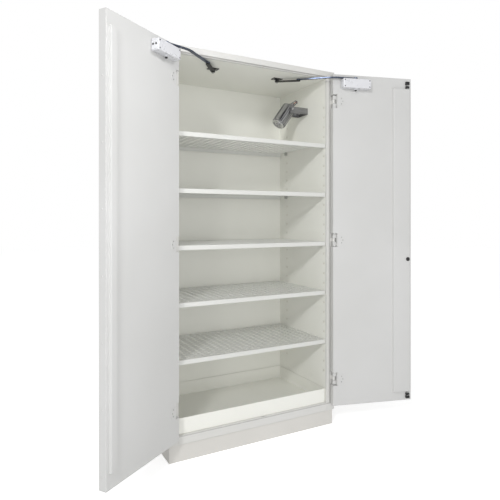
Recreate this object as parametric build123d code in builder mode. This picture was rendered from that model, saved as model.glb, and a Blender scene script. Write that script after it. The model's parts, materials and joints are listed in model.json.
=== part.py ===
"""Flammable storage cabinet: a double-walled steel body with a spill tray, five perforated shelves,
two insulated doors with overhead closers, a rod lock and an automatic suppression canister.

Frame: +X right, -Y the front, +Z up, origin on the floor at the centre of the plinth's footprint.
All sizes are millimetres. The rest pose has both doors open.
"""
from build123d import *
from math import cos, radians, sin
import os

os.makedirs("parts", exist_ok=True)

# ---------------------------------------------------------------- driving dimensions
width, depth, height = 960, 530, 1950
side_wall, back_wall = 52, 43
plinth_height, plinth_inset = 80, 8
sheet = 1.5
ceiling_z = 1911
floor_z = 125
fascia_z = 1920

hole_pitch, hole_top_z, hole_rows = 54, 1754, 28
hole_front, hole_back = 26, 406
shelf_lip, shelf_step, shelf_lowest_z, shelf_count = 22, 5 * hole_pitch, 449, 5
shelf_front, shelf_back = 12, 478
mesh_hole, mesh_pitch_x, mesh_pitch_y, mesh_columns, mesh_rows = 20, 38, 32.5, 22, 14
tray_top_z = 200

pin_in, pin_out = 22, 23
door_edge, door_gap, door_thickness, door_clear = 10, 2, 38, 2
door_bottom_z, door_top_z = 117, 1926
left_open, right_open = 145, 164
hinge_heights = (262, 1021, 1780)
hinge_half, barrel_half, knuckle_r, pin_r, running = 36, 32, 6.5, 3, 0.05

spindle_x, spindle_y = 134, 16
bracket_x, bracket_y = 288, 140
arm_z, arm_thick = 1900.5, 5
link_z, link_thick = 1894, 4.5
lock_x, lock_z, rod_travel = 452, 911, 18

# ---------------------------------------------------------------- derived places
half_w, front_y, back_y = width / 2, -depth / 2, depth / 2
inner_x = half_w - side_wall
liner_back_y = back_y - back_wall
door_free = half_w - door_gap
pan_y, skin_y, outer_y = -door_clear, -door_clear - sheet, -door_clear - door_thickness
shelf_heights = [shelf_lowest_z + shelf_step * i for i in range(shelf_count)]
hole_heights = [hole_top_z - hole_pitch * i for i in range(hole_rows)]


def save(part, name):
    """Label a finished piece and write its STEP file."""
    part.label = name
    export_step(part, f"parts/{name}.step")


def slab(frame, xs, ys, zs, mode=Mode.ADD):
    """A rectangular block between two limits on each axis of a frame."""
    with BuildSketch(frame.offset(zs[0])) as outline:
        with Locations(((xs[0] + xs[1]) / 2, (ys[0] + ys[1]) / 2)):
            Rectangle(abs(xs[1] - xs[0]), abs(ys[1] - ys[0]))
    extrude(outline.sketch, amount=zs[1] - zs[0], mode=mode)


def bent_sheet(frame, points, length, thickness=sheet, radius=2.0, side=Side.LEFT):
    """A sheet folded along a polyline in a frame's XY plane and drawn out along its Z."""
    with BuildSketch(frame) as outline:
        with BuildLine():
            FilletPolyline(*points, radius=radius)
            offset(amount=thickness, side=side)
        make_face()
    extrude(outline.sketch, amount=length)


def disc(frame, place, radius, zs, mode=Mode.ADD):
    """A round boss or hole on a frame between two heights."""
    with BuildSketch(frame.offset(zs[0])) as outline:
        with Locations(place):
            Circle(radius)
    extrude(outline.sketch, amount=zs[1] - zs[0], mode=mode)


world = Plane.XY
# Looking along +X: the sketch's X is the cabinet's Y and its Y is the cabinet's Z.
across = Plane.YZ

# ---------------------------------------------------------------- plinth and feet
plinth_x, plinth_y = half_w - plinth_inset, back_y - plinth_inset
flange = 25
with BuildPart() as plinth:
    slab(world, (-plinth_x, plinth_x), (-plinth_y, plinth_y), (0, plinth_height))
    inner_plinth = (plinth_x - 2, plinth_y - 2)
    slab(world, (-inner_plinth[0], inner_plinth[0]), (-inner_plinth[1], inner_plinth[1]),
         (2, plinth_height), Mode.SUBTRACT)
    slab(world, (flange - plinth_x, plinth_x - flange), (flange - plinth_y, plinth_y - flange),
         (0, 2), Mode.SUBTRACT)
    fillet(plinth.edges().filter_by(Axis.Z).group_by(Axis.Y)[0], radius=2)
    slab(world, (-20, 20), (flange - plinth_y - 1, plinth_y - flange + 1), (0, 2))
save(plinth.part, "plinth")

foot_places = [(sx * (plinth_x - 60), sy * (plinth_y - 60)) for sx in (-1, 1) for sy in (-1, 1)]
with BuildPart() as levelling_feet:
    for place in foot_places:
        disc(world, place, 22, (0, 8))
        disc(world, place, 8, (8, 20))
        disc(world, place, 5, (20, plinth_height))
save(levelling_feet.part, "levelling_feet")

# ---------------------------------------------------------------- outer shell
jamb_return = 12
for name, side in (("left", -1), ("right", 1)):
    # One folded sheet: back flange, side, front face of the jamb and the return into the opening.
    fold = [
        (side * (half_w - 20), back_y - 2 * sheet),
        (side * half_w, back_y - 2 * sheet),
        (side * half_w, front_y),
        (side * inner_x, front_y),
        (side * inner_x, front_y + jamb_return),
    ]
    inside = Side.RIGHT if side > 0 else Side.LEFT
    with BuildPart() as outer_side:
        bent_sheet(world.offset(plinth_height + 3), fold, fascia_z - 1 - plinth_height - 3, side=inside)
    save(outer_side.part, f"outer_side_{name}")

rod_x = half_w - lock_x
strike_x, strike_y = (rod_x - 8, rod_x + 8), (front_y + 1.7, front_y + 9)
with BuildPart() as outer_top:
    fold = [(back_y, height - 25), (back_y, height), (front_y, height), (front_y, fascia_z),
            (front_y + 8, fascia_z)]
    bent_sheet(across.offset(-half_w), fold, width, radius=3)
    for side in (-1, 1):
        slab(world, (side * half_w, side * (half_w - sheet)), (front_y + 4, back_y - 4),
             (fascia_z, height - 2))
    slab(world, strike_x, strike_y, (fascia_z - 1, fascia_z + 2), Mode.SUBTRACT)
save(outer_top.part, "outer_top")

with BuildPart() as outer_back:
    slab(world, (3 - half_w, half_w - 3), (back_y - 1.5 * sheet - 0.5, back_y - 0.5 * sheet - 0.5),
         (plinth_height, height - 30))
save(outer_back.part, "outer_back")

with BuildPart() as outer_bottom:
    slab(world, (3 - half_w, half_w - 3), (front_y + 3, back_y - 5), (plinth_height, plinth_height + sheet))
save(outer_bottom.part, "outer_bottom")

# ---------------------------------------------------------------- header and sill of the front frame
with BuildPart() as header_channel:
    fold = [(front_y + 10, fascia_z - 3), (front_y, fascia_z - 3), (front_y, ceiling_z),
            (front_y + 14, ceiling_z)]
    bent_sheet(across.offset(-inner_x), fold, 2 * inner_x, radius=1.6)
    slab(world, strike_x, strike_y, (ceiling_z - 1, fascia_z), Mode.SUBTRACT)
save(header_channel.part, "header_channel")

with BuildPart() as sill_channel:
    fold = [(front_y + 20, plinth_height + sheet), (front_y, plinth_height + sheet), (front_y, floor_z),
            (front_y + 30, floor_z)]
    bent_sheet(across.offset(-inner_x), fold, 2 * inner_x, radius=1.6, side=Side.RIGHT)
    slab(world, strike_x, strike_y, (floor_z - 3, floor_z + 1), Mode.SUBTRACT)
save(sill_channel.part, "sill_channel")

# ---------------------------------------------------------------- inner liner with its shelf slots
liner_front_y = front_y + jamb_return
for name, side in (("left", -1), ("right", 1)):
    with BuildPart() as liner_side:
        slab(world, (side * inner_x, side * (inner_x + sheet)), (liner_front_y, liner_back_y),
             (floor_z, ceiling_z))
        with BuildSketch(across.offset(side * inner_x)) as slots:
            slot_places = [(front_y + y, z) for y in (hole_front, hole_back) for z in hole_heights]
            with Locations(*slot_places):
                SlotOverall(13, 7, rotation=90)
        extrude(slots.sketch, amount=side * sheet, mode=Mode.SUBTRACT)
    save(liner_side.part, f"liner_{name}")

with BuildPart() as liner_back:
    slab(world, (-inner_x, inner_x), (liner_back_y, liner_back_y + sheet), (floor_z, ceiling_z))
save(liner_back.part, "liner_back")

with BuildPart() as liner_ceiling:
    slab(world, (-inner_x, inner_x), (front_y + 14, liner_back_y), (ceiling_z, ceiling_z + sheet))
save(liner_ceiling.part, "liner_ceiling")

with BuildPart() as liner_floor:
    slab(world, (-inner_x, inner_x), (front_y + 30, liner_back_y), (floor_z - sheet, floor_z))
save(liner_floor.part, "liner_floor")

# ---------------------------------------------------------------- mineral boards inside the walls
board_gap = 2
for name, side in (("left", -1), ("right", 1)):
    with BuildPart() as core_side:
        slab(world, (side * (inner_x + sheet + board_gap), side * (half_w - sheet - board_gap)),
             (front_y + 16, liner_back_y), (floor_z - 35, ceiling_z))
    save(core_side.part, f"core_{name}")

with BuildPart() as core_back:
    slab(world, (4 - half_w, half_w - 4), (liner_back_y + sheet + board_gap, back_y - 8),
         (floor_z - 35, ceiling_z))
save(core_back.part, "core_back")

with BuildPart() as core_top:
    slab(world, (4 - half_w, half_w - 4), (front_y + 18, back_y - 8), (ceiling_z + 3, height - 5))
save(core_top.part, "core_top")

with BuildPart() as frame_gasket:
    seal_in, seal_out, seal_thick = side_wall - 15, side_wall - 23, 1.2
    seal_low, seal_high = (floor_z - 7, floor_z - 2), (ceiling_z + 1.6, ceiling_z + 5.6)
    seal_ys = (front_y - seal_thick - 0.1, front_y - 0.1)
    for side in (-1, 1):
        slab(world, (side * (half_w - seal_in), side * (half_w - seal_out)), seal_ys,
             (seal_low[0], seal_high[1]))
    for band in (seal_low, seal_high):
        slab(world, (seal_in - half_w, half_w - seal_in), seal_ys, band)
save(frame_gasket.part, "frame_gasket")

# ---------------------------------------------------------------- shelves, clips and tray
shelf_half = inner_x - 3
shelf_ys = (front_y + shelf_front, front_y + shelf_back)
first_row = shelf_ys[0] + 26
hole_grid_y = first_row + (mesh_rows - 1) * mesh_pitch_y / 2
for number, shelf_z in enumerate(reversed(shelf_heights), start=1):
    with BuildPart() as shelf:
        fold = [(shelf_ys[0] + 14, shelf_z), (shelf_ys[0], shelf_z), (shelf_ys[0], shelf_z + shelf_lip),
                (shelf_ys[1], shelf_z + shelf_lip), (shelf_ys[1], shelf_z)]
        bent_sheet(across.offset(-shelf_half), fold, 2 * shelf_half, radius=2, side=Side.RIGHT)
        with BuildSketch(world.offset(shelf_z + shelf_lip - 3)) as holes:
            with Locations((0, hole_grid_y)):
                with GridLocations(mesh_pitch_x, mesh_pitch_y, mesh_columns, mesh_rows):
                    Circle(mesh_hole / 2)
        extrude(holes.sketch, amount=4, mode=Mode.SUBTRACT)
    save(shelf.part, f"shelf_{number}")

clip_rise = shelf_lip - sheet
with BuildPart() as shelf_clips:
    for shelf_z in shelf_heights:
        for side in (-1, 1):
            for y in (front_y + hole_front, front_y + hole_back):
                slab(world, (side * (inner_x - 14), side * inner_x), (y - 6, y + 6),
                     (shelf_z + 3, shelf_z + clip_rise))
                slab(world, (side * inner_x, side * (inner_x + 3)), (y - 3, y + 3),
                     (shelf_z + 5, shelf_z + 13))
save(shelf_clips.part, "shelf_clips")

with BuildPart() as spill_tray:
    slab(world, (2 - inner_x, inner_x - 2), (front_y + shelf_front, liner_back_y - 3), (floor_z, tray_top_z))
    fillet(spill_tray.edges().filter_by(Axis.Z), radius=5)
    fillet(spill_tray.faces().sort_by(Axis.Z)[0].edges(), radius=3)
    offset(amount=-2, openings=spill_tray.faces().sort_by(Axis.Z)[-1])
save(spill_tray.part, "spill_tray")


# ---------------------------------------------------------------- doors, built on their own frames
class Door:
    """A door's frame: origin on the hinge axis, X along the door to its free edge, Z up.

    Places are given as on the closed door: x from the body's outer side, y from its front plane.
    """

    def __init__(self, name, side, angle):
        swing = radians(angle)
        self.name, self.side, self.inward = name, side, -side
        pivot = (side * (half_w - pin_in), front_y - pin_out, 0)
        self.plane = Plane(origin=pivot, x_dir=(-side * cos(swing), -sin(swing), 0), z_dir=(0, 0, 1))

    def at(self, x, y):
        """A closed-door place in the door frame's own X and Y."""
        return (x - pin_in, self.inward * (y + pin_out))

    def block(self, xs, ys, zs, mode=Mode.ADD):
        """A block on the door, with its limits as on the closed door."""
        low, high = self.at(xs[0], ys[0]), self.at(xs[1], ys[1])
        slab(self.plane, (low[0], high[0]), (low[1], high[1]), zs, mode)

    def round(self, x, y, radius, zs, mode=Mode.ADD):
        """An upright cylinder or hole on the door."""
        disc(self.plane, self.at(x, y), radius, zs, mode)

    def face(self, x, y, z):
        """A plane facing into the cabinet, with its origin at a place on the door."""
        u, v = self.at(x, y)
        origin = self.plane.from_local_coords(Vector(u, v, z))
        return Plane(origin=origin, x_dir=self.plane.x_dir, z_dir=self.plane.y_dir * self.inward)


doors = (Door("left", -1, left_open), Door("right", 1, right_open))
notch = (door_edge - 1, pin_in + 14)
rivet_heights = [170 + 251 * i for i in range(7)]

for door in doors:
    active = door.side > 0
    lock_face = door.face(lock_x, outer_y, lock_z)

    with BuildPart() as door_skin:
        door.block((door_edge, door_free), (outer_y, skin_y), (door_bottom_z, door_top_z))
        fillet(door_skin.edges().filter_by(Axis.Z), radius=2)
        rim = 14
        door.block((door_edge + sheet, door_free - sheet), (outer_y + sheet, skin_y - sheet),
                   (door_bottom_z + sheet, door_top_z - sheet), Mode.SUBTRACT)
        door.block((door_edge + rim, door_free - rim), (skin_y - 2 * sheet, skin_y + 1),
                   (door_bottom_z + rim, door_top_z - rim), Mode.SUBTRACT)
        for z in hinge_heights:
            door.block((door_edge, notch[1] + sheet), (outer_y, skin_y),
                       (z - hinge_half - sheet, z + hinge_half + sheet))
            door.block(notch, (outer_y - 1, skin_y + 1), (z - hinge_half, z + hinge_half), Mode.SUBTRACT)
        if active:
            disc(lock_face, (0, 0), 9.5, (-1, 3), Mode.SUBTRACT)
    save(door_skin.part, f"{door.name}_door_skin")

    with BuildPart() as door_pan:
        door.block((door_edge + 4, door_free - 4), (skin_y, pan_y), (door_bottom_z + 3, door_top_z - 3))
        for z in hinge_heights:
            door.block(notch, (skin_y - 1, pan_y + 1), (z - hinge_half, z + hinge_half), Mode.SUBTRACT)
        if active:
            disc(lock_face, (0, 0), 9, (door_thickness - 4, door_thickness + 1), Mode.SUBTRACT)
    save(door_pan.part, f"{door.name}_door_pan")

    with BuildPart() as door_core:
        door.block((notch[1] + 2, door_free - 3), (outer_y + 2, skin_y - 2), (door_bottom_z + 3, door_top_z - 3))
        if active:
            door.block((lock_x - 18, door_free), (outer_y, skin_y), (lock_z - 82, lock_z + 82), Mode.SUBTRACT)
    save(door_core.part, f"{door.name}_door_core")

    # Hinges: two knuckles of each hinge belong to the door, the middle one to the body.
    knuckle_step = 2 * barrel_half / 3
    with BuildPart() as hinge_leaves:
        for z in hinge_heights:
            for low in (z - barrel_half, z + barrel_half - knuckle_step + 0.5):
                high = low + knuckle_step - 0.5
                door.round(pin_in, -pin_out, knuckle_r, (low, high))
                door.block((pin_in, notch[1] - 1), (-pin_out + 3, -pin_out + knuckle_r), (low, high))
            door.block((notch[1] - 3, notch[1]), (outer_y + 6, skin_y), (z - barrel_half, z + barrel_half))
            door.round(pin_in, -pin_out, pin_r + running, (z - hinge_half, z + hinge_half), Mode.SUBTRACT)
            door.block((pin_in + 16.5, pin_in + 50), (pan_y, pan_y + 1.5), (z - 24, z + 24))
    save(hinge_leaves.part, f"{door.name}_hinge_leaves")

    # Closer housing with its spindle bore, the cranked arm, and the link up to the ceiling.
    with BuildPart() as closer_housing:
        door.block((56, 215), (pan_y, 38), (1847, 1897))
        fillet(closer_housing.edges().filter_by(Axis.Z), radius=4)
        fillet(closer_housing.faces().sort_by(Axis.Z)[-1].edges(), radius=2)
        fillet(closer_housing.faces().sort_by(Axis.Z)[0].edges(), radius=2)
        door.round(spindle_x, spindle_y, 7, (1841, 1848))
        door.round(spindle_x, spindle_y, 7 + running, (1875, 1898), Mode.SUBTRACT)
    save(closer_housing.part, f"{door.name}_closer_housing")

    # The arm keeps one direction while the door turns, so it is drawn square to the body.
    spindle = door.plane.from_local_coords(Vector(*door.at(spindle_x, spindle_y), 0))
    bracket = Vector(door.side * (half_w - bracket_x), front_y + bracket_y, 0)
    pivot = door.plane.origin
    elbow = bracket + (spindle - pivot)
    reach = (elbow - spindle).normalized()
    bow = Vector(reach.Y, -reach.X, 0) * -door.side * 32
    crank = spindle + reach * 118 + bow
    with BuildPart() as closer_arm:
        with BuildSketch(world.offset(arm_z)) as bar:
            with BuildLine():
                FilletPolyline((spindle.X, spindle.Y), (crank.X, crank.Y), (elbow.X, elbow.Y), radius=120)
            trace(line_width=16)
            with Locations((spindle.X, spindle.Y)):
                Circle(11)
            with Locations((elbow.X, elbow.Y)):
                Circle(10.5)
        extrude(bar.sketch, amount=arm_thick)
        disc(world, (spindle.X, spindle.Y), 11, (1897.4, 1907.5))
        disc(world, (spindle.X, spindle.Y), 7, (1876, 1898))
        disc(world, (elbow.X, elbow.Y), 4.4, (arm_z - 1, arm_z + arm_thick + 1), Mode.SUBTRACT)
    save(closer_arm.part, f"{door.name}_closer_arm")

    with BuildPart() as closer_link:
        link_length = (elbow - bracket).length
        along = (elbow - bracket).normalized()
        link_plane = Plane(origin=bracket + Vector(0, 0, link_z), x_dir=along, z_dir=(0, 0, 1))
        with BuildSketch(link_plane) as strap:
            with Locations((link_length / 2, 0)):
                SlotCenterToCenter(link_length, 22)
        extrude(strap.sketch, amount=link_thick)
        disc(world, (bracket.X, bracket.Y), 4 + running, (link_z - 1, link_z + link_thick + 1), Mode.SUBTRACT)
        disc(world, (elbow.X, elbow.Y), 8, (link_z + link_thick, arm_z - 0.5))
        disc(world, (elbow.X, elbow.Y), 4, (link_z + link_thick, arm_z + arm_thick + 3))
        disc(world, (elbow.X, elbow.Y), 6.5, (arm_z + arm_thick + 0.5, arm_z + arm_thick + 3))
    save(closer_link.part, f"{door.name}_closer_link")

left_door, right_door = doors

with BuildPart() as left_edge_cover:
    left_door.block((427, 464), (pan_y, 8.5), (182, 1865))
    left_door.block((427 + sheet, 464 - sheet), (pan_y - 1, 8.5 - sheet), (181, 1866), Mode.SUBTRACT)
save(left_edge_cover.part, "left_edge_cover")

with BuildPart() as left_edge_rivets:
    for z in rivet_heights:
        u, v = left_door.at(door_free, (outer_y + skin_y) / 2)
        seat = left_door.plane.from_local_coords(Vector(u, v, z))
        rivet_plane = Plane(origin=seat, x_dir=(0, 0, 1), z_dir=left_door.plane.x_dir)
        disc(rivet_plane, (0, 0), 4, (0, 1))
save(left_edge_rivets.part, "left_edge_rivets")

# ---------------------------------------------------------------- fixed hinge leaves, pins and brackets
with BuildPart() as hinge_frame_leaves:
    for side in (-1, 1):
        axis = (side * (half_w - pin_in), front_y - pin_out)
        for z in hinge_heights:
            zs = (z - knuckle_step / 2 + 0.5, z + knuckle_step / 2)
            disc(world, axis, knuckle_r, zs)
            slab(world, (axis[0] - 1.8, axis[0] + 1.8), (axis[1] + 3, front_y), zs)
            slab(world, (side * (half_w - 2), side * (half_w - 25)), (front_y - 1.6, front_y),
                 (z - 30, z + 30))
            disc(world, axis, pin_r, (z - 40, z + 40), Mode.SUBTRACT)
save(hinge_frame_leaves.part, "hinge_frame_leaves")

with BuildPart() as hinge_pins:
    for side in (-1, 1):
        for z in hinge_heights:
            axis = (side * (half_w - pin_in), front_y - pin_out)
            disc(world, axis, pin_r, (z - barrel_half - 1, z + barrel_half + 1))
            disc(world, axis, 5, (z + barrel_half + 0.5, z + barrel_half + 3))
save(hinge_pins.part, "hinge_pins")

with BuildPart() as closer_brackets:
    for side in (-1, 1):
        place = (side * (half_w - bracket_x), front_y + bracket_y)
        slab(world, (place[0] - 28, place[0] + 28), (place[1] - 17, place[1] + 17), (1908, ceiling_z))
        disc(world, place, 9, (link_z + link_thick + 0.5, 1908))
        disc(world, place, 4, (link_z - 1, link_z + link_thick + 1))
        disc(world, place, 7, (link_z - 4, link_z - 0.4))
save(closer_brackets.part, "closer_brackets")

# ---------------------------------------------------------------- right door: rod lock and handle
cover_top, cover_bottom = 1865, 169
with BuildPart() as right_lock_cover:
    with BuildSketch(right_door.plane.offset(cover_bottom)) as hat:
        with BuildLine():
            outer_edge = [(362, pan_y), (370, 8.5), (466, 8.5), (472, pan_y)]
            inner_edge = [(470.2, pan_y), (464.8, 7), (371.2, 7), (364, pan_y)]
            Polyline(*[right_door.at(x, y) for x, y in outer_edge + inner_edge], close=True)
        make_face()
    extrude(hat.sketch, amount=cover_top - cover_bottom)
    disc(right_door.face(lock_x, 0, lock_z), (0, 0), 8, (5, 10), Mode.SUBTRACT)
save(right_lock_cover.part, "right_lock_cover")

with BuildPart() as lock_case:
    right_door.block((lock_x - 15, door_free - 3), (outer_y + 4, skin_y - 3), (lock_z - 78, lock_z + 78))
    disc(right_door.face(lock_x, outer_y, lock_z), (0, 0), 6.2 + running, (0, door_thickness), Mode.SUBTRACT)
save(lock_case.part, "lock_case")

with BuildPart() as handle_plate:
    with BuildSketch(right_door.face(lock_x, outer_y, lock_z)) as plate:
        SlotOverall(150, 32, rotation=90)
    extrude(plate.sketch, amount=-4)
    disc(right_door.face(lock_x, outer_y, lock_z), (0, 0), 9 + running, (-5, 1), Mode.SUBTRACT)
    outward = Axis(right_door.plane.origin, -right_door.face(0, 0, 0).z_dir)
    fillet(handle_plate.faces().sort_by(outward)[-1].outer_wire().edges(), radius=1)
save(handle_plate.part, "handle_plate")

handle_face = right_door.face(lock_x, outer_y, lock_z)
with BuildPart() as door_handle:
    disc(handle_face, (0, 0), 9, (-34, 0))
    disc(handle_face, (0, 0), 13, (-46, -4.5))
    with BuildSketch(handle_face.offset(-46)) as grip:
        with Locations((-55, 0)):
            SlotCenterToCenter(110, 22)
    extrude(grip.sketch, amount=12)
    fillet(door_handle.edges().filter_by(lambda edge: edge.length > 60), radius=3)
save(door_handle.part, "door_handle")

with BuildPart() as lock_spindle:
    disc(handle_face, (0, 0), 6.2, (0, door_thickness + 0.4))
    disc(handle_face, (0, 0), 15, (door_thickness + 0.4, door_thickness + 3.4))
    disc(handle_face, (0, 0), 5, (door_thickness + 3.4, door_thickness + 12))
    disc(handle_face, (0, 0), 11, (door_thickness + 10.9, door_thickness + 13))
save(lock_spindle.part, "lock_spindle")

# Each flat rod ends in a foot beside the spindle, clear of the turning cam.
rod_ys, rod_half = (2.5, 6.5), 5
for name, up in (("upper_rod", 1), ("lower_rod", -1)):
    tip = 1908 if up > 0 else floor_z + 4
    with BuildPart() as rod:
        right_door.block((lock_x - rod_half, lock_x + rod_half), rod_ys, (lock_z + up * 30, tip))
        right_door.block((lock_x - 11, lock_x + 11), rod_ys, (lock_z + up * 30, lock_z + up * 42))
    save(rod.part, name)

with BuildPart() as rod_guides:
    for low, high in ((1890, 1907), (1871, 1882), (148, 158), (130, 143)):
        right_door.block((lock_x - 10, lock_x + 10), (pan_y, 8.5), (low, high))
        right_door.block((lock_x - rod_half - 0.3, lock_x + rod_half + 0.3), (rod_ys[0] - 0.3, rod_ys[1] + 0.3),
                         (low - 1, high + 1), Mode.SUBTRACT)
save(rod_guides.part, "rod_guides")

# ---------------------------------------------------------------- suppression canister on the right wall
tilt_x, tilt_y, tilt_z = 320, front_y + 230, 1768
arm_half, tank_r = 50, 41
bracket_zs = (1745, 1781)
with BuildPart() as suppressor_bracket:
    slab(world, (inner_x - 3, inner_x), (tilt_y - arm_half, tilt_y + arm_half), bracket_zs)
    for side in (-1, 1):
        slab(world, (tilt_x - 12, inner_x), (tilt_y + side * arm_half, tilt_y + side * (arm_half - 3)),
             bracket_zs)
        with BuildSketch(Plane.XZ.offset(-tilt_y - side * arm_half)) as bolt_hole:
            with Locations((tilt_x, tilt_z)):
                Circle(4 + running)
        extrude(bolt_hole.sketch, amount=side * 3, mode=Mode.SUBTRACT)
save(suppressor_bracket.part, "suppressor_bracket")

with BuildPart() as suppressor_bolts:
    for y in (tilt_y - 32, tilt_y + 32):
        with BuildSketch(Plane.YZ.offset(inner_x - 3)) as head:
            with Locations((y, 1763)):
                RegularPolygon(6, 6)
        extrude(head.sketch, amount=-5)
save(suppressor_bolts.part, "suppressor_bolts")

# The tank's own frame: Z runs from the valve head down to the discharge end.
tank_dir = Vector(-0.6, 0, -0.8)
tank = Plane(origin=(tilt_x, tilt_y, tilt_z), x_dir=(0, 1, 0), z_dir=tank_dir)
# The release valve leans further over, towards the wall.
valve = Plane(origin=Vector(tilt_x, tilt_y, tilt_z) - tank_dir * 32, x_dir=(0, 1, 0), z_dir=(0.8, 0, 0.6))
with BuildPart() as suppressor_canister:
    disc(tank, (0, 0), tank_r, (-22, 104))
    fillet(suppressor_canister.edges(), radius=7)
    disc(tank, (0, 0), 15, (-40, -18))
    disc(valve, (0, 0), 13, (0, 22))
    # Trunnion studs turn in the bracket's arms.
    for side in (-1, 1):
        with BuildSketch(Plane.XZ.offset(-tilt_y)) as stud:
            with Locations((tilt_x, tilt_z)):
                Circle(4)
        extrude(stud.sketch, amount=side * (arm_half + 3))
        with BuildSketch(Plane.XZ.offset(-tilt_y - side * (arm_half + 0.4))) as stud_head:
            with Locations((tilt_x, tilt_z)):
                RegularPolygon(8, 6)
        extrude(stud_head.sketch, amount=-side * 5)
save(suppressor_canister.part, "suppressor_canister")

with BuildPart() as suppressor_nozzle:
    disc(tank, (0, 0), 35, (104, 111))
    disc(tank, (0, 0), 28, (107, 112), Mode.SUBTRACT)
    disc(tank, (0, 0), 9, (107, 116))
    disc(tank, (0, 0), 4, (109, 117), Mode.SUBTRACT)
save(suppressor_nozzle.part, "suppressor_nozzle")

with BuildPart() as suppressor_frame:
    for side in (-1, 1):
        slab(valve, (-3.5, 3.5), (side * 6.5, side * 11), (22, 52))
    slab(valve, (-3.5, 3.5), (-11, 11), (50, 54))
    disc(valve, (0, 0), 4, (52, 58))
save(suppressor_frame.part, "suppressor_frame")

with BuildPart() as suppressor_bulb:
    with BuildSketch(Plane(origin=valve.origin, x_dir=valve.x_dir, z_dir=-valve.y_dir)) as bulb:
        with BuildLine():
            Spline((0, 22), (2.6, 26), (3.2, 36), (2.6, 46), (0, 50), tangents=((1, 0), (-1, 0)))
            Line((0, 50), (0, 22))
        make_face()
    revolve(bulb.sketch, axis=Axis(valve.origin, valve.z_dir))
save(suppressor_bulb.part, "suppressor_bulb")
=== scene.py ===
# %% [markdown]
# # A flammable storage cabinet
# The cabinet arrives as a finished steel frame: every panel, shelf, hinge and rod already has its real size
# and place. This lesson gives each surface the finish of the real one, and adds the small pieces that a maker
# would fit by hand: screws, rivets, rims and caps.
#
# Lengths are metres. The cabinet stands on the floor at z = 0, its front faces -Y, and +X is to its right.

# %% Load the frame
import json
import math

import bmesh
import bpy
from mathutils import Matrix, Vector


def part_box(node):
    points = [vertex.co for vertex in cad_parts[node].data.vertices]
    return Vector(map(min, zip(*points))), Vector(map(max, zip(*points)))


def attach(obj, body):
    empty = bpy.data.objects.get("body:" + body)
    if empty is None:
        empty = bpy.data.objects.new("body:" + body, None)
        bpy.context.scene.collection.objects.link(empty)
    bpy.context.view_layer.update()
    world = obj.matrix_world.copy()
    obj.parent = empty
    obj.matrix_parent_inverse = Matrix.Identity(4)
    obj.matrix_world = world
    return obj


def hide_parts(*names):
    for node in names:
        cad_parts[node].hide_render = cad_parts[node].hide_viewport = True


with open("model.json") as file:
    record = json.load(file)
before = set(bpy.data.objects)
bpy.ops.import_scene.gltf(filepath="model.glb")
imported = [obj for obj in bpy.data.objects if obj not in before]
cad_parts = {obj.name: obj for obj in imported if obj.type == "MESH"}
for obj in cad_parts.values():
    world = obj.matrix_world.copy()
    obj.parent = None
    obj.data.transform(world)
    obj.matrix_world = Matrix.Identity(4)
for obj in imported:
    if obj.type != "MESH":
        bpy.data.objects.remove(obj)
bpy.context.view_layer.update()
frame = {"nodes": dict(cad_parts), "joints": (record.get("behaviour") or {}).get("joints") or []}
nodes = frame["nodes"]
hinges = {joint["name"]: joint for joint in frame["joints"]}

# %% [markdown]
# ## Writing shader maths as expressions
# A material is a graph of nodes, and a graph is slow to read in code. Wrapping a socket in a small class lets
# the maths be written as `wear + grain * 0.35`, and each operator adds its own Math node. One method, `node`,
# adds anything that isn't arithmetic.

# %% A socket that understands arithmetic
class Signal:
    """One output socket in a material's node tree."""

    def __init__(self, tree, socket):
        self.tree, self.socket = tree, socket

    def math(self, operation, other):
        step = self.tree.nodes.new("ShaderNodeMath")
        step.operation = operation
        for slot, value in zip(step.inputs, (self, other)):
            feed(self.tree, slot, value)
        return Signal(self.tree, step.outputs[0])

    def __add__(self, other):
        return self.math("ADD", other)

    def __mul__(self, other):
        return self.math("MULTIPLY", other)


def feed(tree, slot, value):
    """Link a signal to a socket, or set the socket's own value."""
    if isinstance(value, Signal):
        tree.links.new(value.socket, slot)
    elif slot.type == "RGBA" and len(value) == 3:
        slot.default_value = (*value, 1.0)
    else:
        slot.default_value = value


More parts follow.
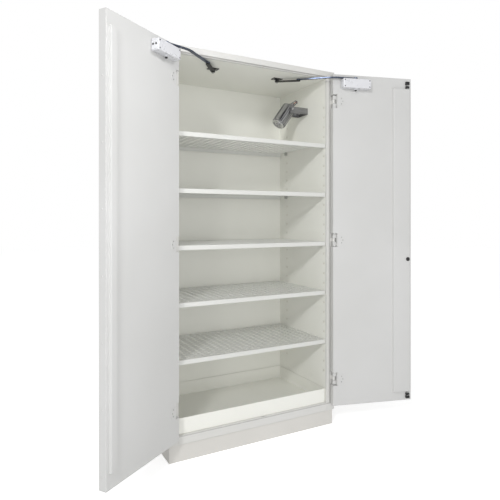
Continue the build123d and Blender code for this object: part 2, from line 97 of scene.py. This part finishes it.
# %% A finish that builds its own node tree
class Finish:
    """A material with a Principled shader and a short way to add nodes to it."""

    def __init__(self, name, **fixed):
        self.material = bpy.data.materials.new(name)
        self.material.use_nodes = True
        self.tree = self.material.node_tree
        self.shader = self.tree.nodes["Principled BSDF"]
        self.place = self.node("ShaderNodeTexCoord", output="Object")
        self.set(**fixed)

    def node(self, kind, settings=None, output=0, **sockets):
        """Add a node: its settings first, then the values or links of its sockets."""
        made = self.tree.nodes.new(kind)
        for name, value in (settings or {}).items():
            setattr(made, name, value)
        for name, value in sockets.items():
            slot = made.inputs[int(name[1:])] if name[0] == "_" else made.inputs[name.replace("_", " ")]
            feed(self.tree, slot, value)
        return Signal(self.tree, made.outputs[output])

    def set(self, **sockets):
        """Set or link sockets of the Principled shader."""
        for name, value in sockets.items():
            feed(self.tree, self.shader.inputs[name.replace("_", " ")], value)

    def noise(self, scale, detail=2.0, stretch=(1, 1, 1)):
        """Fractal noise in the piece's own space, with scale in cells to the metre."""
        place = self.node("ShaderNodeMapping", Vector=self.place, Scale=stretch)
        return self.node("ShaderNodeTexNoise", output="Fac", Vector=place, Scale=scale, Detail=detail)

    def ramp(self, value, low, high, start=0.0, end=1.0):
        """Carry a value from one range to another, held at both ends."""
        return self.node("ShaderNodeMapRange", Value=value, From_Min=low, From_Max=high, To_Min=start, To_Max=end)

    def blend(self, amount, first, second):
        """A colour between two others."""
        return self.node("ShaderNodeMix", {"data_type": "RGBA"}, output=2, _0=amount, _6=first, _7=second)

    def bump(self, height, distance):
        """Turn a height in 0 to 1 into a surface relief of a real depth."""
        relief = self.node("ShaderNodeBump", Strength=1.0, Distance=distance, Height=height)
        self.set(Normal=relief)


print("shader tools ready")

# %% [markdown]
# ## Powder coat
# The whole cabinet is powder coated. Powder is sprayed dry and melts into a skin about 80 microns thick, which
# dries with a fine orange-peel texture and a satin gloss. Three things make it read as paint and not as flat
# colour: the peel, a slow drift in tone over a large panel, and a roughness that drifts with it. The inside of
# the body has a warmer, slightly greener tone than the doors, so the recipe takes the tone as a parameter. The
# liner's coat is also made much lighter than the others. That lightness is painted light, which lifts the shade
# inside the body, and the spill tray wears the liner's coat for the same reason.

# %% Powder coat recipe
def powder_coat(name, light, shade, gloss=0.42, peel=0.00005):
    """Satin powder coat whose tone drifts between two close colours."""
    coat = Finish(name, IOR=1.5)
    drift = coat.noise(2.2, detail=3)
    fleck = coat.noise(260, detail=1)
    tone = coat.blend(coat.ramp(drift, 0.35, 0.65), shade, light)
    coat.set(Base_Color=coat.blend(coat.ramp(fleck, 0.62, 0.78, 0, 0.35), tone, shade))
    coat.set(Roughness=coat.ramp(drift + fleck * 0.3, 0.4, 0.9, gloss - 0.05, gloss + 0.07))
    skin = coat.noise(620, detail=1) * 0.7 + coat.noise(1900, detail=0) * 0.3
    coat.bump(skin, peel)
    return coat.material


door_coat = powder_coat("door_powder_coat", (0.675, 0.675, 0.667), (0.645, 0.645, 0.634))
body_coat = powder_coat("body_powder_coat", (0.745, 0.74, 0.72), (0.715, 0.71, 0.68))
# Painted light: the liner's coat is much lighter than the others, to lift the shade inside the body.
powder_coat("liner_coat_painted_light", (0.93, 0.93, 0.875), (0.915, 0.915, 0.855), gloss=0.36)
powder_coat("shelf_powder_coat", (0.76, 0.765, 0.735), (0.735, 0.74, 0.71), gloss=0.34)
powder_coat("plinth_powder_coat", (0.74, 0.725, 0.69), (0.70, 0.685, 0.65), gloss=0.5)

# %% [markdown]
# ## Closer enamel and the arms
# The closers have their own factory finish, a cool silver-white enamel that is smoother than the powder coat.
# Their arms are pressed from dark spring steel, and their blue tint is a painted reflection, carried in the colour
# of the steel. The steel keeps a fine mill grain in its roughness and relief.

# %% Enamel and blued steel
enamel = Finish("closer_enamel", Metallic=0.15, Coat_Weight=0.35)
mottle = enamel.noise(38, detail=3)
enamel.set(Base_Color=enamel.blend(mottle, (0.76, 0.765, 0.80), (0.83, 0.835, 0.865)))
enamel.set(Roughness=enamel.ramp(mottle, 0.3, 0.7, 0.24, 0.36))
enamel.bump(enamel.noise(900, detail=1), 0.00002)
closer_enamel = enamel.material


def dark_steel(name, dark, light, rough, metallic=0.9, stretch=(1, 1, 1)):
    """Dark finished steel with a fine grain and worn lighter patches."""
    steel = Finish(name, Metallic=metallic)
    wear = steel.noise(55, detail=4)
    grain = steel.noise(700, detail=2, stretch=stretch)
    steel.set(Base_Color=steel.blend(steel.ramp(wear + grain * 0.35, 0.45, 0.95), dark, light))
    steel.set(Roughness=steel.ramp(grain, 0.3, 0.7, rough - 0.08, rough + 0.1))
    steel.bump(grain, 0.00003)
    return steel.material


# Painted reflection: the blue in both colours of the arm stands in for the bluish reflection on its dark steel.
dark_steel("arm_steel_painted_blue_reflection", (0.045, 0.055, 0.085), (0.13, 0.16, 0.24), 0.28)
black_steel = dark_steel("black_steel", (0.012, 0.012, 0.013), (0.05, 0.05, 0.052), 0.42, metallic=0.4)
zinc_plate = dark_steel("zinc_plate", (0.40, 0.41, 0.40), (0.62, 0.62, 0.60), 0.34)
bright_nickel = dark_steel("bright_nickel", (0.55, 0.55, 0.555), (0.78, 0.78, 0.775), 0.2)

# %% [markdown]
# ## The canister's gunmetal
# The suppression canister is drawn steel under a dark metallic lacquer. Light runs down its side in long
# streaks, and these are painted highlights. The same pattern gives the faint drawing lines along the length to the
# roughness and relief, and it also makes the colour run from near black to mid grey. The pattern is a noise that
# is stretched along the canister's own axis, which leans over. The mapping is of the type `TEXTURE`, which turns
# the pattern before it stretches it; the usual type `POINT` would stretch it upright and leave the streaks aslant.

# %% Gunmetal, glass, board and rubber
tank_lean = math.atan2(0.6, 0.8)
lacquer = Finish("gunmetal_lacquer", Metallic=0.85, Coat_Weight=0.25)
lengthwise = lacquer.node("ShaderNodeMapping", {"vector_type": "TEXTURE"}, Vector=lacquer.place,
                          Rotation=(0, tank_lean, 0), Scale=(1, 1, 25))
grain_and_highlight_streak = lacquer.node("ShaderNodeTexNoise", output="Fac", Vector=lengthwise, Scale=130, Detail=2)
# Painted highlight streaks: the streaks lighten the colour from near black to mid grey.
lacquer.set(Base_Color=lacquer.blend(lacquer.ramp(grain_and_highlight_streak, 0.35, 0.65), (0.05, 0.05, 0.055), (0.50, 0.50, 0.505)))
lacquer.set(Roughness=lacquer.ramp(grain_and_highlight_streak, 0.3, 0.7, 0.26, 0.4))
lacquer.bump(grain_and_highlight_streak, 0.00006)

bracket = Finish("bracket_steel", Metallic=0.9)
roll = bracket.noise(240, detail=3, stretch=(0.08, 1, 1))
bracket.set(Base_Color=bracket.blend(roll, (0.13, 0.13, 0.135), (0.38, 0.38, 0.385)))
bracket.set(Roughness=bracket.ramp(roll, 0.3, 0.7, 0.3, 0.46))
bracket.bump(roll, 0.00004)

glass = Finish("red_tinted_glass", Roughness=0.05, IOR=1.47, Coat_Weight=0.6)
swirl = glass.noise(420, detail=1)
glass.set(Base_Color=glass.blend(swirl, (0.35, 0.10, 0.08), (0.5, 0.2, 0.15)))
glass.set(Alpha=glass.ramp(swirl, 0.3, 0.7, 0.72, 0.85))

# Painted shade: the board is coloured dark so that the slots in the liner in front of it read as dark.
board = Finish("mineral_board", Roughness=0.9)
clump = board.noise(90, detail=5)
board.set(Base_Color=board.blend(clump, (0.20, 0.19, 0.15), (0.32, 0.30, 0.24)))
board.bump(clump, 0.0004)

rubber = Finish("seal_rubber", Roughness=0.75)
pore = rubber.noise(800, detail=2)
rubber.set(Base_Color=rubber.blend(pore, (0.50, 0.495, 0.475), (0.60, 0.595, 0.575)))
rubber.bump(pore, 0.00008)

plastic = Finish("black_grained_plastic")
moulding = plastic.noise(1400, detail=2)
plastic.set(Base_Color=plastic.blend(moulding, (0.012, 0.012, 0.013), (0.032, 0.032, 0.034)))
plastic.set(Roughness=plastic.ramp(moulding, 0.3, 0.7, 0.38, 0.58))
plastic.bump(moulding, 0.00006)
black_plastic = plastic.material
print(len(bpy.data.materials), "finishes mixed")

# %% [markdown]
# ## Painting the frame
# The steel parts keep their shape, so painting them is one assignment each. A dictionary from finish to parts
# reads like a spray-shop list.

# %% Spray-shop list
spray_list = {
    "body_powder_coat": ["outer_side_left", "outer_side_right", "outer_top", "outer_back", "outer_bottom",
                         "header_channel", "sill_channel", "hinge_frame_leaves"],
    "plinth_powder_coat": ["plinth"],
    # The spill tray and the liners take the lighter coat, which is painted light against the shade inside.
    "liner_coat_painted_light": ["spill_tray", "liner_left", "liner_right", "liner_back", "liner_ceiling", "liner_floor"],
    "shelf_powder_coat": ["shelf_1", "shelf_2", "shelf_3", "shelf_4", "shelf_5"],
    "door_powder_coat": ["left_door_skin", "left_door_pan", "right_door_skin", "right_door_pan",
                         "left_edge_cover", "right_lock_cover", "left_hinge_leaves", "right_hinge_leaves",
                         "left_edge_rivets"],
    "closer_enamel": ["left_closer_housing", "right_closer_housing"],
    "arm_steel_painted_blue_reflection": ["left_closer_arm", "right_closer_arm"],
    "black_steel": ["left_closer_link", "right_closer_link", "closer_brackets", "rod_guides", "lock_spindle"],
    "zinc_plate": ["shelf_clips", "hinge_pins", "lock_case", "upper_rod", "lower_rod", "suppressor_bolts"],
    "bright_nickel": ["suppressor_nozzle"],
    "gunmetal_lacquer": ["suppressor_canister", "suppressor_frame"],
    "bracket_steel": ["suppressor_bracket"],
    "red_tinted_glass": ["suppressor_bulb"],
    "mineral_board": ["core_left", "core_right", "core_back", "core_top", "left_door_core", "right_door_core"],
    "seal_rubber": ["frame_gasket"],
    "black_grained_plastic": ["levelling_feet", "handle_plate", "door_handle"],
}
for finish_name, names in spray_list.items():
    for name in names:
        nodes[name].data.materials.clear()
        nodes[name].data.materials.append(bpy.data.materials[finish_name])
painted = {name for names in spray_list.values() for name in names}
print("painted", len(painted), "of", len(nodes), "parts; left over:", sorted(set(nodes) - painted))

# %% [markdown]
# ## Places on an open door
# It is easiest to think about a door as if it were closed, square to the body. A place is then given by the
# distance in from the body's side, the distance behind the body's front, and the height, all in millimetres.
# The hinge joint knows where the pin is and how far the door stands open, so one matrix carries a finished
# piece from the closed door to the open one.

# %% Door and body places
half_width, front = 0.480, -0.265


def place(side, inset, back, height):
    """A point from millimetres: in from the body's side, back from its front, up from the floor."""
    return Vector((side * (half_width - inset / 1000), front + back / 1000, height / 1000))


def swing(side):
    """The matrix that carries a piece from the closed door to the door at rest."""
    joint = hinges["right_door_hinge" if side > 0 else "left_door_hinge"]
    pin = Matrix.Translation(joint["pos_m"])
    turn = Matrix.Rotation(math.radians(-joint["range_deg"][1]), 4, Vector(joint["axis"]))
    return pin @ turn @ pin.inverted()


def door_body(side):
    return "right_door" if side > 0 else "left_door"


# Distances on the real cabinet that several pieces share, in millimetres.
lock_inset, lock_height = 452, 911
spindle_inset, spindle_back = 134, 16
closer_height, closer_middle = 1872, 18
bracket_inset, bracket_back = 288, 140
print("the right door stands open by", hinges["right_door_hinge"]["range_deg"][1], "degrees")


# %% A piece from a mesh in progress
def finish_piece(name, work, material, body, smooth=True, after=None):
    """Turn a bmesh into an object that rides on a body."""
    bmesh.ops.recalc_face_normals(work, faces=work.faces)
    if after:
        bmesh.ops.transform(work, matrix=after, verts=work.verts)
    mesh = bpy.data.meshes.new(name)
    work.to_mesh(mesh)
    work.free()
    for face in mesh.polygons:
        face.use_smooth = smooth
    piece = bpy.data.objects.new(name, mesh)
    bpy.context.scene.collection.objects.link(piece)
    mesh.materials.append(material)
    if smooth:
        mesh.set_sharp_from_angle(angle=math.radians(35))
    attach(piece, body)
    return piece


def standing(point, direction):
    """A matrix that puts a shape made along +Z at a point, pointing in a direction."""
    return Matrix.Translation(point) @ Vector(direction).to_track_quat("Z", "Y").to_matrix().to_4x4()


# %% [markdown]
# ## Screws, rivets and turned caps
# Small round hardware is turned on a lathe, and `spin` is the lathe: a half profile is swept once round an
# axis. A screw head gets its socket by extruding the rim of its open top downwards. Every small shape is made
# on its own, standing on the origin, and a matrix then sets it down where it belongs.

# %% Lathe, screw and rivet
def turned(profile, steps=24):
    """A new shape from a half profile of (radius, height) points in millimetres."""
    work = bmesh.new()
    chain = [work.verts.new((radius / 1000, 0, height / 1000)) for radius, height in profile]
    edges = [work.edges.new(pair) for pair in zip(chain, chain[1:])]
    bmesh.ops.spin(work, geom=chain + edges, axis=(0, 0, 1), cent=(0, 0, 0), steps=steps, angle=math.tau,
                   use_merge=True)
    bmesh.ops.remove_doubles(work, verts=work.verts, dist=1e-6)
    return work


def screw(radius, height):
    """A pan head with a six-cornered socket."""
    crown, socket = radius * 0.72, radius * 0.42
    work = turned([(0, 0), (radius, 0), (radius, height * 0.55), (crown, height), (socket, height)], 18)
    rim = [edge for edge in work.edges if edge.is_boundary]
    for vert in {v for edge in rim for v in edge.verts}:
        corner = round(math.atan2(vert.co.y, vert.co.x) / math.radians(20)) % 3 == 0
        vert.co.xy *= 1.0 if corner else 0.84
    sunk = bmesh.ops.extrude_edge_only(work, edges=rim)["geom"]
    verts = [v for v in sunk if isinstance(v, bmesh.types.BMVert)]
    bmesh.ops.translate(work, verts=verts, vec=(0, 0, -height * 0.6 / 1000))
    bmesh.ops.contextual_create(work, geom=[e for e in sunk if isinstance(e, bmesh.types.BMEdge)])
    return work


def rivet(radius, height):
    """A domed rivet head."""
    quarter = [math.pi / 2 * step / 4 for step in range(5)]
    return turned([(0, 0)] + [(radius * math.cos(a), height * math.sin(a)) for a in quarter], 16)


def block(size, rounding):
    """A box in millimetres, centred on its base, with all its edges rounded."""
    work = bmesh.new()
    bmesh.ops.create_cube(work, size=1)
    bmesh.ops.scale(work, verts=work.verts, vec=[side / 1000 for side in size])
    bmesh.ops.translate(work, verts=work.verts, vec=(0, 0, size[2] / 2000))
    bmesh.ops.bevel(work, geom=work.edges, offset=rounding / 1000, segments=2, affect="EDGES",
                    profile=0.5, material=-1)
    return work


def set_down(work, part, matrix):
    """Put a small finished shape into a larger piece."""
    bmesh.ops.transform(part, matrix=matrix, verts=part.verts)
    if matrix.determinant() < 0:
        bmesh.ops.reverse_faces(part, faces=part.faces)
    carrier = bpy.data.meshes.new("carrier")
    part.to_mesh(carrier)
    part.free()
    work.from_mesh(carrier)
    bpy.data.meshes.remove(carrier)


print("lathe ready")

# %% [markdown]
# ## Screws and rivets round the cabinet
# A maker would count them: each closer is held by four screws and adjusted by two more at its ends, each hinge
# plate takes three, each ceiling bracket two. The door's free edge is closed by rivets, and so is the sheet at
# the back of the body. Rows of equal fasteners are one piece each, because they never move apart.

# %% Fasteners
def fastener_row(name, heads, material, body, after=None):
    """Set a list of (shape, matrix) down as one piece."""
    work = bmesh.new()
    for part, matrix in heads:
        set_down(work, part, matrix)
    piece = finish_piece(name, work, material, body, after=after)
    print(name, len(piece.data.polygons), "faces")
    return piece


inward, outward = Vector((0, 1, 0)), Vector((0, -1, 0))
hinge_heights = (262, 1021, 1780)
for side, word in ((-1, "left"), (1, "right")):
    plate_screws = [(screw(3.4, 1.4), standing(place(side, inset, -0.5, z + rise), inward))
                    for z in hinge_heights for inset, rise in ((58, 15), (58, -15), (66, 0))]
    fastener_row(f"{word}_hinge_screws", plate_screws, zinc_plate, door_body(side), swing(side))
    bracket_screws = [(screw(4.2, 2.0),
                       standing(place(side, bracket_inset + shift, bracket_back, 1908), (0, 0, -1)))
                      for shift in (-20, 20)]
    fastener_row(f"{word}_bracket_screws", bracket_screws, zinc_plate, "cabinet")

edge_rivets = [(rivet(4.6, 2.0), standing(place(-1, 478, -21.75, 170 + 251 * step), (1, 0, 0)))
               for step in range(7)]
edge_rivet_row = fastener_row("left_edge_rivet_domes", edge_rivets, door_coat, "left_door", swing(-1))
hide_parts("left_edge_rivets")

back = 0.265 - 0.00125
seam_rivets = [(rivet(3.2, 1.2), standing((side * 0.463, back, z / 1000), (0, 1, 0)))
               for side in (-1, 1) for z in range(140, 1900, 160)]
fastener_row("back_panel_rivets", seam_rivets, body_coat, "cabinet")

# %% [markdown]
# ## The door closers
# A closer is a cast housing with a bolted cap at each end, a turned spindle seat on top and an adjusting nut
# below. The casting has rounded edges. The CAD gives the block. What makes it read as a
# casting is small: the end caps with their own slight step, the fixing screws in their corners, and the collars
# where the spindle comes out.

# %% Caps, collars and adjusters
def closer_trim(side):
    word = "left" if side < 0 else "right"
    work = bmesh.new()
    for inset, way in ((56, -1), (215, 1)):
        cap = block((34, 44, 2.2), 1.0)
        centre = place(side, inset, closer_middle, closer_height)
        set_down(work, cap, standing(centre, (-side * way, 0, 0)))
    collar = turned([(7.6, 0), (13, 0), (13, 1.6), (11.8, 2.6), (7.6, 2.6), (7.6, 0)], 28)
    set_down(work, collar, standing(place(side, spindle_inset, spindle_back, 1896.8), (0, 0, 1)))
    nut_seat = turned([(0, 0), (12.5, 0), (12.5, 1.5), (10.5, 3.5), (7.2, 3.5), (7.2, 0)], 28)
    set_down(work, nut_seat, standing(place(side, spindle_inset, spindle_back, 1847.2), (0, 0, -1)))
    return finish_piece(f"{word}_closer_caps", work, closer_enamel, door_body(side),
                        after=swing(side))


for side, word in ((-1, "left"), (1, "right")):
    closer_trim(side)
    corner_screws = [(screw(3.0, 1.6), standing(place(side, inset, 38, z), inward))
                     for inset in (64, 207) for z in (1855, 1889)]
    adjusters = [(screw(4.4, 1.8),
                  standing(place(side, 217.2, closer_middle + shift, closer_height), (-side, 0, 0)))
                 for shift in (-8, 8)]
    nuts = [(turned([(0, 0), (6.2, 0), (6.2, 4.5), (4.8, 6.4), (0, 6.4)], 6),
             standing(place(side, spindle_inset, spindle_back, 1841.2), (0, 0, -1)))]
    fastener_row(f"{word}_closer_screws", corner_screws + adjusters + nuts, black_steel, door_body(side),
                 swing(side))

# %% [markdown]
# ## The elbows of the arms
# Where arm and link meet, the real joint is a bright stepped bolt through the arm's eye with a washer. It is the
# part of the linkage that catches the light. The bolt belongs to the link, which carries the pin, and the
# spindle's cap nut belongs to the arm.

# %% Elbow bolts and spindle nuts
def node_centre(name):
    low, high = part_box(name)
    return (low + high) / 2


for side, word in ((-1, "left"), (1, "right")):
    bracket_axis = place(side, bracket_inset, bracket_back, 0)
    pin = Vector(hinges[f"{word}_door_hinge"]["pos_m"])
    spindle = Vector(hinges[f"{word}_closer_arm_pivot"]["pos_m"])
    elbow = bracket_axis + (spindle - pin)
    elbow.z = spindle.z = 0
    bolt = turned([(0, 0), (7.0, 0), (7.0, 1.0), (5.4, 1.9), (0, 1.9)], 6)
    washer = turned([(6.6, 0), (9.4, 0), (9.4, 1.1), (8.9, 1.5), (6.6, 1.5)], 26)
    shank = turned([(0, -0.2), (8.4, -0.2), (8.4, 0.9), (7.8, 1.3), (0, 1.3)], 26)
    fastener_row(f"{word}_elbow_bolt", [
        (bolt, Matrix.Translation(elbow + Vector((0, 0, 1.9083)))),
        (shank, Matrix.Translation(elbow + Vector((0, 0, 1.8985)))),
    ], bright_nickel, f"{word}_closer_link")
    fastener_row(f"{word}_arm_washer", [(washer, Matrix.Translation(elbow + Vector((0, 0, 1.9054))))],
                 bright_nickel, f"{word}_closer_arm")
    cap_nut = turned([(0, 0), (8.2, 0), (8.2, 1.4), (6.6, 2.6), (0, 2.6)], 6)
    fastener_row(f"{word}_spindle_nut", [(cap_nut, Matrix.Translation(spindle + Vector((0, 0, 1.9073))))],
                 bright_nickel, f"{word}_closer_arm")
    pivot_cap = turned([(0, 0), (7.6, 0), (7.6, 1.0), (5.0, 3.0), (0, 3.4)], 22)
    fastener_row(f"{word}_bracket_cap", [(pivot_cap, standing(bracket_axis + Vector((0, 0, 1.8902)), (0, 0, -1)))],
                 zinc_plate, "cabinet")

# %% [markdown]
# ## The long covers on the doors
# Folded steel covers hide the rods on the right door and stiffen the left one. A fold in steel is never sharp:
# it has a radius of a few millimetres, and that radius draws a line of light down the whole door. The cover
# starts as a box, loses the faces that the real one doesn't have, gets its folds from a bevel, and becomes
# sheet with `solidify`.

# %% Folded covers
def folded_cover(name, side, insets, heights, slope, body, replaced):
    """A shallow channel on the inner face of a door, open at both ends."""
    low, high = insets
    work = bmesh.new()
    bmesh.ops.create_cube(work, size=1)
    bmesh.ops.scale(work, verts=work.verts, vec=((high - low) / 1000, 0.0105, (heights[1] - heights[0]) / 1000))
    middle = place(side, (low + high) / 2, 3.25, sum(heights) / 2)
    bmesh.ops.translate(work, verts=work.verts, vec=middle)
    work.normal_update()
    open_faces = [face for face in work.faces if abs(face.normal.z) > 0.5 or face.normal.y < -0.5]
    bmesh.ops.delete(work, geom=open_faces, context="FACES_ONLY")
    lid = max(work.faces, key=lambda face: face.calc_center_median().y)
    for vert in lid.verts:
        vert.co.x += math.copysign(slope / 1000, middle.x - vert.co.x)
    folds = [edge for edge in lid.edges if abs(edge.verts[0].co.z - edge.verts[1].co.z) > 0.5]
    bmesh.ops.bevel(work, geom=folds, offset=0.0032, segments=5, affect="EDGES", profile=0.5, material=-1)
    bmesh.ops.recalc_face_normals(work, faces=work.faces)
    outside = max(work.faces, key=lambda face: face.calc_area())
    if outside.normal.y < 0:
        bmesh.ops.reverse_faces(work, faces=work.faces)
    bmesh.ops.solidify(work, geom=work.faces, thickness=0.0015)
    cover = finish_piece(name, work, door_coat, body, after=swing(side))
    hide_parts(replaced)
    print(name, len(cover.data.polygons), "faces")
    return cover


folded_cover("left_stiffening_cover", -1, (427, 464), (182, 1865), 1.0, "left_door", "left_edge_cover")
folded_cover("lock_rod_cover", 1, (362, 472), (169, 1865), 6.0, "right_door", "right_lock_cover")

# %% [markdown]
# ## Rod guides and the end hooks
# The rods run in black moulded guides. Each is a block with rounded corners and a waist. The outermost ones,
# which take the side load when the door is locked, have two cheeks with a slot between them for the rod.
# The CAD blocks are the right size, so the cheeks are only thin skins on them.

# %% Guide cheeks
work = bmesh.new()
for low, high in ((1890, 1907), (130, 143)):
    for shift in (-6.2, 6.2):
        cheek = block((8.4, 3.0, high - low), 1.2)
        set_down(work, cheek, Matrix.Translation(place(1, lock_inset + shift, 9.6, low)))
for low, high in ((1871, 1882), (148, 158)):
    boss = turned([(0, 0), (6.5, 0), (6.5, 1.2), (5.0, 2.2), (0, 2.2)], 24)
    set_down(work, boss, standing(place(1, lock_inset, 8.4, (low + high) / 2), inward))
finish_piece("rod_guide_cheeks", work, black_plastic, "right_door", after=swing(1))

work = bmesh.new()
for z in (lock_height + 55, lock_height - 55):
    set_down(work, screw(4.2, 1.8), standing(place(1, lock_inset, -44, z), outward))
key_barrel = turned([(0, 0), (9.5, 0), (9.5, 1.6), (8.6, 2.4), (0, 2.4)], 32)
set_down(work, key_barrel, standing(place(1, lock_inset, -43.9, lock_height - 38), outward))
key_slot = block((2.0, 9.0, 0.5), 0.2)
set_down(work, key_slot, standing(place(1, lock_inset, -46.2, lock_height - 38), outward))
finish_piece("handle_plate_fittings", work, bright_nickel, "right_door", after=swing(1))

# %% [markdown]
# ## Stage, lamps and camera
# The cabinet is seen from the left of its centre line, at a little over half its height, with upright lines
# kept upright: the camera looks level, and the frame is shifted to take in the foot of the cabinet. A small
# lamp from the left and above gives the soft shadows on the inner walls, a wide one in front fills them, and a
# low one lifts the ceiling and the undersides of the shelves. The last has a narrow spread, like a studio lamp
# with a grid, so that it brightens the upper part of the left door and little else. A white surround does the
# rest. It looks full white to the camera but shines at half strength, and the floor's own glow is likewise only
# for the eye: the node `Light Path` tells a ray that starts at the camera from one that carries light.

# %% Floor and surround
def stage_plane(name, corners):
    work = bmesh.new()
    work.faces.new([work.verts.new(corner) for corner in corners])
    mesh = bpy.data.meshes.new(name)
    work.to_mesh(mesh)
    work.free()
    plane = bpy.data.objects.new(name, mesh)
    bpy.context.scene.collection.objects.link(plane)
    return plane


floor = stage_plane("studio_floor", [(-14, -10, 0), (14, -10, 0), (14, 16, 0), (-14, 16, 0)])
paper = Finish("studio_paper", Roughness=0.95, Emission_Strength=0.5)
seen = paper.node("ShaderNodeLightPath", output="Is Camera Ray")
paper.set(Emission_Color=paper.blend(seen, (0.0, 0.0, 0.0), (1.0, 1.0, 1.0)))
paper.set(Base_Color=paper.blend(paper.noise(3), (0.90, 0.90, 0.90), (0.92, 0.92, 0.92)))
floor.data.materials.append(paper.material)

surround = bpy.data.worlds.new("white_surround")
bpy.context.scene.world = surround
surround.use_nodes = True
sky = surround.node_tree.nodes["Background"]
sky.inputs["Color"].default_value = (1.0, 1.0, 1.0, 1.0)
eye = surround.node_tree.nodes.new("ShaderNodeLightPath")
level = surround.node_tree.nodes.new("ShaderNodeMapRange")
level.inputs["To Min"].default_value, level.inputs["To Max"].default_value = 0.55, 1.0
surround.node_tree.links.new(eye.outputs["Is Camera Ray"], level.inputs["Value"])
surround.node_tree.links.new(level.outputs["Result"], sky.inputs["Strength"])


# %% Soft boxes and camera
def soft_box(name, spot, target, size, watts, tint=(1.0, 1.0, 1.0)):
    lamp = bpy.data.lights.new(name, "AREA")
    lamp.shape, lamp.size, lamp.energy, lamp.color = "SQUARE", size, watts, tint
    holder = bpy.data.objects.new(name, lamp)
    holder.location = spot
    holder.rotation_euler = (Vector(target) - Vector(spot)).to_track_quat("-Z", "Y").to_euler()
    bpy.context.scene.collection.objects.link(holder)
    return holder


soft_box("key_left", (-3.3, -3.6, 3.0), (0.1, 0, 1.1), 0.6, 76)
soft_box("front_level", (-0.6, -4.8, 1.5), (0, 0, 1.0), 2.0, 28)
soft_box("low_front", (-0.2, -3.6, 0.5), (0, 0, 1.7), 1.2, 8)
grid_light = soft_box("door_light", (1.0, -3.0, 3.2), (-1.15, -0.7, 1.55), 0.5, 3.2)
grid_light.data.spread = math.radians(44)

camera = bpy.data.objects.new("camera", bpy.data.cameras.new("camera"))
bpy.context.scene.collection.objects.link(camera)
camera.location = (-1.1896, -2.3911, 1.1395)
camera.rotation_euler = (math.radians(90), 0, math.radians(-28.17))
camera.data.sensor_width, camera.data.lens, camera.data.shift_y = 36, 34.495, -0.0632
bpy.context.scene.camera = camera
bpy.context.scene.view_settings.view_transform = "Standard"
